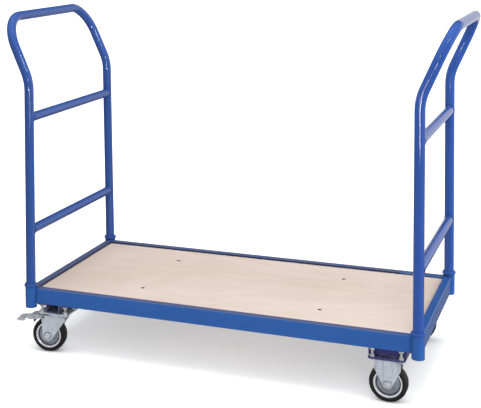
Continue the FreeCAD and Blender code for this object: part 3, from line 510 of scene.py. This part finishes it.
# --------------------------------------------------------------- weld details
def bead(name, pts, r, body, closed=False, pitch=0.0022, side=None, mat=None):
    """A weld run: a ring section swept along pts, swelling and sagging at every
    solidified ripple, with each ripple leaning along the run."""
    pts = [Vector(p) for p in pts]
    # resample to equal steps
    seg = pts + ([pts[0]] if closed else [])
    total = sum((seg[i + 1] - seg[i]).length for i in range(len(seg) - 1))
    n = max(12, int(total / (pitch / 4.0)))
    out, acc, i = [], 0.0, 0
    for k in range(n if closed else n + 1):
        d = total * k / n
        while i < len(seg) - 2 and acc + (seg[i + 1] - seg[i]).length < d:
            acc += (seg[i + 1] - seg[i]).length
            i += 1
        L = (seg[i + 1] - seg[i]).length
        out.append(seg[i].lerp(seg[i + 1], min(1.0, (d - acc) / max(L, 1e-9))))
    m, S = len(out), 10
    verts, faces = [], []
    for k, p in enumerate(out):
        a = out[(k - 1) % m] if closed or k else out[k]
        b = out[(k + 1) % m] if closed or k < m - 1 else out[k]
        t = (b - a).normalized()
        ref = side(p) if side else Vector((0, 0, 1))
        u = (ref - t * ref.dot(t))
        u = u.normalized() if u.length > 1e-6 else t.orthogonal().normalized()
        v = t.cross(u)
        ph = k / 4.0
        rip = 0.5 + 0.5 * math.cos(2 * math.pi * ph)
        wob = 0.06 * math.sin(0.37 * k + 1.3) + 0.04 * math.sin(0.11 * k + len(name))
        rr = r * (0.90 + 0.14 * rip + wob)
        if not closed:
            endf = min(1.0, (k + 0.6) / 5.0, (m - k - 0.4) / 5.0)
            rr *= math.sqrt(max(0.05, endf))
        for j in range(S):
            ang = 2 * math.pi * j / S
            off = u * math.cos(ang) + v * math.sin(ang)
            verts.append(p + off * rr + t * (0.0005 * math.cos(ang)))
    for k in range(m if closed else m - 1):
        for j in range(S):
            a, b = k * S + j, k * S + (j + 1) % S
            c, d = ((k + 1) % m) * S + (j + 1) % S, ((k + 1) % m) * S + j
            faces.append((a, b, c, d))
    if not closed:
        faces.append(tuple(range(S - 1, -1, -1)))
        faces.append(tuple((m - 1) * S + j for j in range(S)))
    me = bpy.data.meshes.new(name)
    me.from_pydata([tuple(v) for v in verts], [], faces)
    me.update()
    for p in me.polygons:
        p.use_smooth = True
    o = bpy.data.objects.new(name, me)
    scene.collection.objects.link(o)
    me.materials.append(MAT[mat or ("weld_h" if body.startswith("handle") else "weld")])
    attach(o, body)
    return o


# cross bars welded to the posts: saddle-shaped runs
TOP_AXIS = 1.055
for side_name in ("left", "right"):
    tube_lo, tube_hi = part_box("handle_%s_tube" % side_name)
    col_lo, col_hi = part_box("handle_%s_collars" % side_name)
    px = (col_lo.x + col_hi.x) / 2
    R = tube_hi.z - TOP_AXIS
    for lvl in ("lower", "upper"):
        lo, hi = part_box("handle_%s_bar_%s" % (side_name, lvl))
        zc, rb = (lo.z + hi.z) / 2, (hi.z - lo.z) / 2
        for sy, tag in ((-1, "front"), (1, "back")):
            y_end = lo.y if sy < 0 else hi.y
            # post axis: the bar is coped over it, its tips reach beside the axis
            y_axis = y_end + sy * math.sqrt(max(R * R - rb * rb, 0.0))
            pts = []
            for k in range(72):
                f = 2 * math.pi * k / 72
                x, z = rb * math.cos(f), rb * math.sin(f)
                y = y_axis - sy * math.sqrt(max((R + 0.0004) ** 2 - x * x, 1e-9)) - sy * 0.0009
                pts.append((px + x * 1.03, y, zc + z * 1.03))
            bead("weld_%s_bar_%s_%s" % (side_name, lvl, tag), pts, 0.0019, "handle_" + side_name, True)

# rails welded to the corner sockets
rf_lo, rf_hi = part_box("side_rail_front")
er_lo, er_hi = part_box("end_rail_right")
zb, zt = rf_lo.z, rf_hi.z
side_out, end_out = -rf_lo.y, er_hi.x
for tag, sx, sy in (("front_left", -1, -1), ("front_right", 1, -1), ("back_right", 1, 1), ("back_left", -1, 1)):
    lo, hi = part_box("socket_" + tag)
    cx, cy, R = (lo.x + hi.x) / 2, (lo.y + hi.y) / 2, (hi.x - lo.x) / 2
    ax, ay = abs(cx), abs(cy)
    # polar angles about the socket axis in the first quadrant's mirror frame
    a0 = math.atan2(side_out - ay, -math.sqrt(max(R * R - (side_out - ay) ** 2, 0)))
    a1 = math.atan2(-math.sqrt(max(R * R - (end_out - ax) ** 2, 0)), end_out - ax)
    if a0 > 0:
        a0 -= 2 * math.pi
    loc = []
    zs = [zb + (zt - zb) * k / 24 for k in range(25)]
    for z in zs:
        loc.append((ax + R * math.cos(a0), ay + R * math.sin(a0), z))
    for k in range(1, 40):
        a = a0 + (a1 - a0) * k / 40
        loc.append((ax + (R + 0.0003) * math.cos(a), ay + (R + 0.0003) * math.sin(a), zt + 0.0002))
    for z in reversed(zs):
        loc.append((ax + R * math.cos(a1), ay + R * math.sin(a1), z))
    pts = [(sx * x, sy * y, z) for x, y, z in loc]
    bead("weld_socket_" + tag, pts, 0.0016, "root", False, side=lambda p, c=(cx, cy): Vector((p.x - c[0], p.y - c[1], 0.001)))

# caster beams welded under the side rails
rail_in = side_out - 0.025
for tag in ("left", "right"):
    lo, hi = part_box("caster_beam_" + tag)
    y_far = min(hi.y, side_out) - 0.003
    for sy, yt in ((-1, "front"), (1, "back")):
        for x, xt in ((lo.x - 0.0006, "a"), (hi.x + 0.0006, "b")):
            bead("weld_beam_%s_%s_%s" % (tag, yt, xt), [(x, sy * y_far, zb - 0.0010), (x, sy * (rail_in + 0.001), zb - 0.0010)], 0.0017, "root", mat="weld_n")
        if tag == "right":
            bead("weld_beam_right_%s_end" % yt, [(lo.x + 0.008, sy * (hi.y + 0.0004), zb - 0.0012), (hi.x - 0.008, sy * (hi.y + 0.0004), zb - 0.0012)], 0.0015, "root", mat="weld_n")

# cross members welded between the side rails
for tag in ("left", "right"):
    lo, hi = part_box("cross_member_" + tag)
    for sy, yt in ((-1, "front"), (1, "back")):
        ye = lo.y if sy < 0 else hi.y
        pts = [(lo.x - 0.0004, ye - sy * 0.0008, hi.z - 0.004), (lo.x - 0.0004, ye - sy * 0.0008, lo.z + 0.0022), (lo.x + 0.0022, ye - sy * 0.0008, lo.z - 0.0004),
               (hi.x - 0.0022, ye - sy * 0.0008, lo.z - 0.0004), (hi.x + 0.0004, ye - sy * 0.0008, lo.z + 0.0022), (hi.x + 0.0004, ye - sy * 0.0008, hi.z - 0.004)]
        bead("weld_cross_%s_%s" % (tag, yt), pts, 0.0017, "root", side=lambda p: Vector((0, 1, 0)))

# collars welded round the posts: a thin run on the upper edge
for side_name in ("left", "right"):
    col_lo, col_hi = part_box("handle_%s_collars" % side_name)
    px = (col_lo.x + col_hi.x) / 2
    for sy, tag in ((-1, "front"), (1, "back")):
        py = sy * (max(abs(col_lo.y), abs(col_hi.y)) - (col_hi.x - col_lo.x) / 2)
        pts = [(px + 0.0156 * math.cos(2 * math.pi * k / 64), py + 0.0156 * math.sin(2 * math.pi * k / 64), col_hi.z + 0.0001) for k in range(64)]
        bead("weld_%s_collar_%s" % (side_name, tag), pts, 0.0011, "handle_" + side_name, True)


# ------------------------------------------------------------------ the stage
FLOOR_FILL = 0.425
FRONT_A, FRONT_B = -0.10, -0.34


class Tree:
    # the few node helpers the floor and the surroundings need
    def __init__(self, nt):
        self.nt = nt
        nt.nodes.clear()

    def put(self, sock, v):
        if isinstance(v, bpy.types.NodeSocket):
            self.nt.links.new(v, sock)
        else:
            sock.default_value = v

    def new(self, kind, **kw):
        n = self.nt.nodes.new(kind)
        for k, v in kw.items():
            self.put(n.inputs[k], v)
        return n

    def math(self, op, a, b=0.0, clamp=False):
        n = self.nt.nodes.new("ShaderNodeMath")
        n.operation, n.use_clamp = op, clamp
        self.put(n.inputs[0], a)
        self.put(n.inputs[1], b)
        return n.outputs[0]

    def remap(self, v, a, b, c, d, smooth=False):
        n = self.nt.nodes.new("ShaderNodeMapRange")
        if smooth:
            n.interpolation_type = "SMOOTHSTEP"
        self.put(n.inputs[0], v)
        for k, x in enumerate((a, b, c, d)):
            self.put(n.inputs[k + 1], x)
        return n.outputs[0]

    def ramp(self, v, stops):
        n = self.nt.nodes.new("ShaderNodeValToRGB")
        e = n.color_ramp.elements
        while len(e) > 1:
            e.remove(e[-1])
        for i, (p, c) in enumerate(stops):
            x = e[0] if i == 0 else e.new(p)
            x.position = p
            x.color = (c, c, c, 1.0) if isinstance(c, (int, float)) else tuple(c) + (1.0,)
        self.put(n.inputs[0], v)
        return n.outputs[0]

    def mixs(self, f, a, b):
        n = self.nt.nodes.new("ShaderNodeMixShader")
        self.put(n.inputs[0], f)
        self.put(n.inputs[1], a)
        self.put(n.inputs[2], b)
        return n.outputs[0]


def floor_material():
    m = bpy.data.materials.new("floor_pale")
    m.use_nodes = True
    t = Tree(m.node_tree)
    out = t.new("ShaderNodeOutputMaterial")
    dif = t.new("ShaderNodeBsdfDiffuse", Color=(0.78, 0.78, 0.78, 1))
    ao = t.new("ShaderNodeAmbientOcclusion", Distance=0.065)
    ao.samples = 8
    lp = t.new("ShaderNodeLightPath")
    geo = t.new("ShaderNodeNewGeometry")
    sep = t.new("ShaderNodeSeparateXYZ", Vector=geo.outputs["Position"])
    x, y = sep.outputs[0], sep.outputs[1]
    r = t.math("SQRT", t.math("ADD", t.math("MULTIPLY", x, x), t.math("MULTIPLY", y, y)))
    # painted light: for the camera the floor glows, weakly near the object and brighter away from it, so that it meets
    # the white backdrop; the glow rises in front of and to the right of the object, which shapes the shadow's edges,
    # and ambient occlusion cuts it into painted contact shadows
    fill = t.remap(r, 1.1, 2.6, FLOOR_FILL, 1.15, True)
    fill = t.math("ADD", fill, t.remap(y, FRONT_A, FRONT_B, 0.0, 0.20, True))
    fill = t.math("ADD", fill, t.remap(x, 0.42, 0.62, 0.0, 0.24, True))
    k = t.math("MULTIPLY", t.math("MULTIPLY", ao.outputs["AO"], lp.outputs["Is Camera Ray"]), fill)
    emi = t.new("ShaderNodeEmission", Strength=k)
    add = t.new("ShaderNodeAddShader")
    t.put(add.inputs[0], dif.outputs[0])
    t.put(add.inputs[1], emi.outputs[0])
    # what glossy paint mirrors: dim near the object, bright far behind it
    g = t.remap(y, 1.0, 3.2, 0.21, 0.80, True)
    emi2 = t.new("ShaderNodeEmission", Strength=g)
    sh = t.mixs(lp.outputs["Is Glossy Ray"], add.outputs[0], emi2.outputs[0])
    # a viewer under the floor looks through it and sees the underside
    clear = t.new("ShaderNodeBsdfTransparent")
    below = t.math("MULTIPLY", geo.outputs["Backfacing"], lp.outputs["Is Camera Ray"])
    t.put(out.inputs[0], t.mixs(below, sh, clear.outputs[0]))
    return m


me = bpy.data.meshes.new("studio_floor")
S = 30.0
me.from_pydata([(-S, -S, 0), (S, -S, 0), (S, S, 0), (-S, S, 0)], [], [(0, 1, 2, 3)])
floor = bpy.data.objects.new("studio_floor", me)
scene.collection.objects.link(floor)
me.materials.append(floor_material())

# surroundings: white for the camera, a soft graded studio for light, and a
# backdrop with a dark upper part for what glossy surfaces mirror
world = bpy.data.worlds.new("studio")
scene.world = world
world.use_nodes = True
t = Tree(world.node_tree)
wout = t.new("ShaderNodeOutputWorld")
white = t.new("ShaderNodeBackground", Color=(1, 1, 1, 1), Strength=1.08)
tc = t.new("ShaderNodeTexCoord")
sep = t.new("ShaderNodeSeparateXYZ", Vector=tc.outputs["Generated"])
wx, wy, wz = sep.outputs
zc = t.ramp(wz, [(0.0, (0.42, 0.44, 0.47)), (0.75, (0.95, 0.97, 1.0))])
soft = t.new("ShaderNodeBackground", Color=zc, Strength=t.remap(wy, -1.0, 1.0, 0.50, 0.50))
low = t.ramp(wz, [(0.0, 0.80), (0.115, 0.80), (0.14, 0.08), (0.55, 0.10), (0.85, 0.45), (1.0, 0.6)])
high = t.ramp(wz, [(0.0, 0.78), (0.30, 0.74), (0.42, 0.15), (0.55, 0.10), (0.85, 0.45), (1.0, 0.6)])
pick = t.new("ShaderNodeMix")
pick.data_type = "RGBA"
t.put(pick.inputs[0], t.remap(wx, -0.115, -0.085, 0.0, 1.0, True))
t.put(pick.inputs[6], low)
t.put(pick.inputs[7], high)
back = pick.outputs[2]
front = t.ramp(wz, [(0.0, 0.22), (0.25, 0.30), (0.60, 0.45), (1.0, 0.6)])
gb = t.new("ShaderNodeBackground", Color=back, Strength=1.0)
gf = t.new("ShaderNodeBackground", Color=front, Strength=1.0)
gl = t.mixs(t.remap(wy, -0.15, 0.15, 0.0, 1.0, True), gf.outputs[0], gb.outputs[0])
lp = t.new("ShaderNodeLightPath")
mixed = t.mixs(lp.outputs["Is Glossy Ray"], soft.outputs[0], gl)
t.put(wout.inputs[0], t.mixs(lp.outputs["Is Camera Ray"], mixed, white.outputs[0]))


def area(name, loc, target, size, power, color=(1, 1, 1), size_y=None):
    d = bpy.data.lights.new(name, "AREA")
    d.shape = "RECTANGLE"
    d.size, d.size_y = size, size_y or size
    d.energy, d.color = power, color
    o = bpy.data.objects.new(name, d)
    scene.collection.objects.link(o)
    o.location = loc
    o.rotation_mode = "QUATERNION"
    o.rotation_quaternion = (Vector(target) - Vector(loc)).to_track_quat("-Z", "Y")
    return o


for o in (area("softbox_top", (-0.1, -0.4, 3.6), (0, 0, 0.2), 2.7, 127.0),
          area("softbox_front", (1.7, -4.6, 2.1), (0.1, 0, 0.5), 2.4, 105.0)):
    o.visible_glossy = False

# fill from the right for the object only, so that the floor keeps its shadow
no_fill = bpy.data.collections.new("without_side_fill")
no_fill.objects.link(floor)
o = area("softbox_right", (3.4, 0.3, 0.9), (0.6, 0, 0.3), 1.8, 96.0, (0.88, 0.95, 1.0))
o.visible_glossy = False
o.light_linking.receiver_collection = no_fill
no_fill.collection_objects[0].light_linking.link_state = "EXCLUDE"


def glint(name, point, axis, turn, dist, across, along, power):
    """A strip lamp, seen in reflections only, placed so that its image lies at
    `point` on a tube with that axis, turned off the middle line by `turn`."""
    p, a = Vector(point), Vector(axis).normalized()
    v = (Vector(VIEW) - p).normalized()
    n = (v - a * v.dot(a)).normalized()
    s = a.cross(n)
    if s.x * math.cos(0.403) + s.y * math.sin(0.403) < 0:
        s = -s
    n = n * math.cos(turn) + s * math.sin(turn)
    lx = n * (2 * v.dot(n)) - v
    loc = p + lx * dist
    d = bpy.data.lights.new(name, "AREA")
    d.shape = "RECTANGLE"
    d.size, d.size_y = across, along
    d.energy = power
    o = bpy.data.objects.new(name, d)
    scene.collection.objects.link(o)
    z = -lx * -1.0
    y = (a - z * a.dot(z)).normalized()
    x = y.cross(z)
    o.rotation_mode = "QUATERNION"
    o.rotation_quaternion = Matrix((x, y, z)).transposed().to_quaternion()
    o.location = loc
    o.visible_diffuse = False
    return o


VIEW = (1.09444, -3.37379, 1.32169)
glint("glint_a", (0.658, -0.288, 0.994), (87.3, 3.12, 195), 0.06, 2.4, 0.90, 0.05, 15.0)
glint("glint_c", (-0.607, -0.290, 0.876), (-0.24, 0.016, 1), 0.05, 2.4, 0.40, 0.05, 3.4)
glint("glint_d", (-0.643, 0.289, 0.957), (-87.3, -3.12, 195), 0.30, 2.4, 0.24, 0.12, 3.4)
glint("glint_e", (-0.602, 0.290, 0.864), (-0.12, -0.016, 1), -0.05, 2.4, 0.34, 0.04, 2.6)

# --------------------------------------------------------------------- camera
YAW, PITCH, ROLL = 0.40301008, 0.06590563, -0.01120628
F_PX, CX_PX, CY_PX = 1129.27, 139.99, 6.13
POS = Vector((1.09444, -3.37379, 1.32169))
d = Vector((-math.sin(YAW) * math.cos(PITCH), math.cos(YAW) * math.cos(PITCH), -math.sin(PITCH)))
rgt = Vector((math.cos(YAW), math.sin(YAW), 0.0))
upv = rgt.cross(d)
c_, s_ = math.cos(ROLL), math.sin(ROLL)
r2, u2 = rgt * c_ + upv * s_, upv * c_ - rgt * s_
cam = bpy.data.cameras.new("camera")
cam.sensor_fit = "HORIZONTAL"
cam.sensor_width = 36.0
cam.lens = F_PX / 481.0 * 36.0
cam.clip_start, cam.clip_end = 0.05, 100.0
co = bpy.data.objects.new("camera", cam)
scene.collection.objects.link(co)
co.rotation_mode = "QUATERNION"
rot = Matrix((r2, u2, -d)).transposed()
co.rotation_quaternion = rot.to_quaternion()
co.location = POS
scene.camera = co
SHIFT = ((240.5 - CX_PX) / 481.0, (CY_PX - 204.0) / 481.0)
# the off-centre lens belongs to the main viewpoint only
for k, prop in enumerate(("shift_x", "shift_y")):
    fc = cam.driver_add(prop)
    dr = fc.driver
    dr.type = "SCRIPTED"
    for nm, pathn in (("px", "location[0]"), ("py", "location[1]")):
        v = dr.variables.new()
        v.name = nm
        v.type = "SINGLE_PROP"
        v.targets[0].id_type = "OBJECT"
        v.targets[0].id = co
        v.targets[0].data_path = pathn
    dr.expression = "%.6f if abs(px - %.5f) < 0.002 and abs(py - %.5f) < 0.002 else 0.0" % (SHIFT[k], POS.x, POS.y)

scene.view_settings.view_transform = "Standard"
scene.view_settings.look = "None"
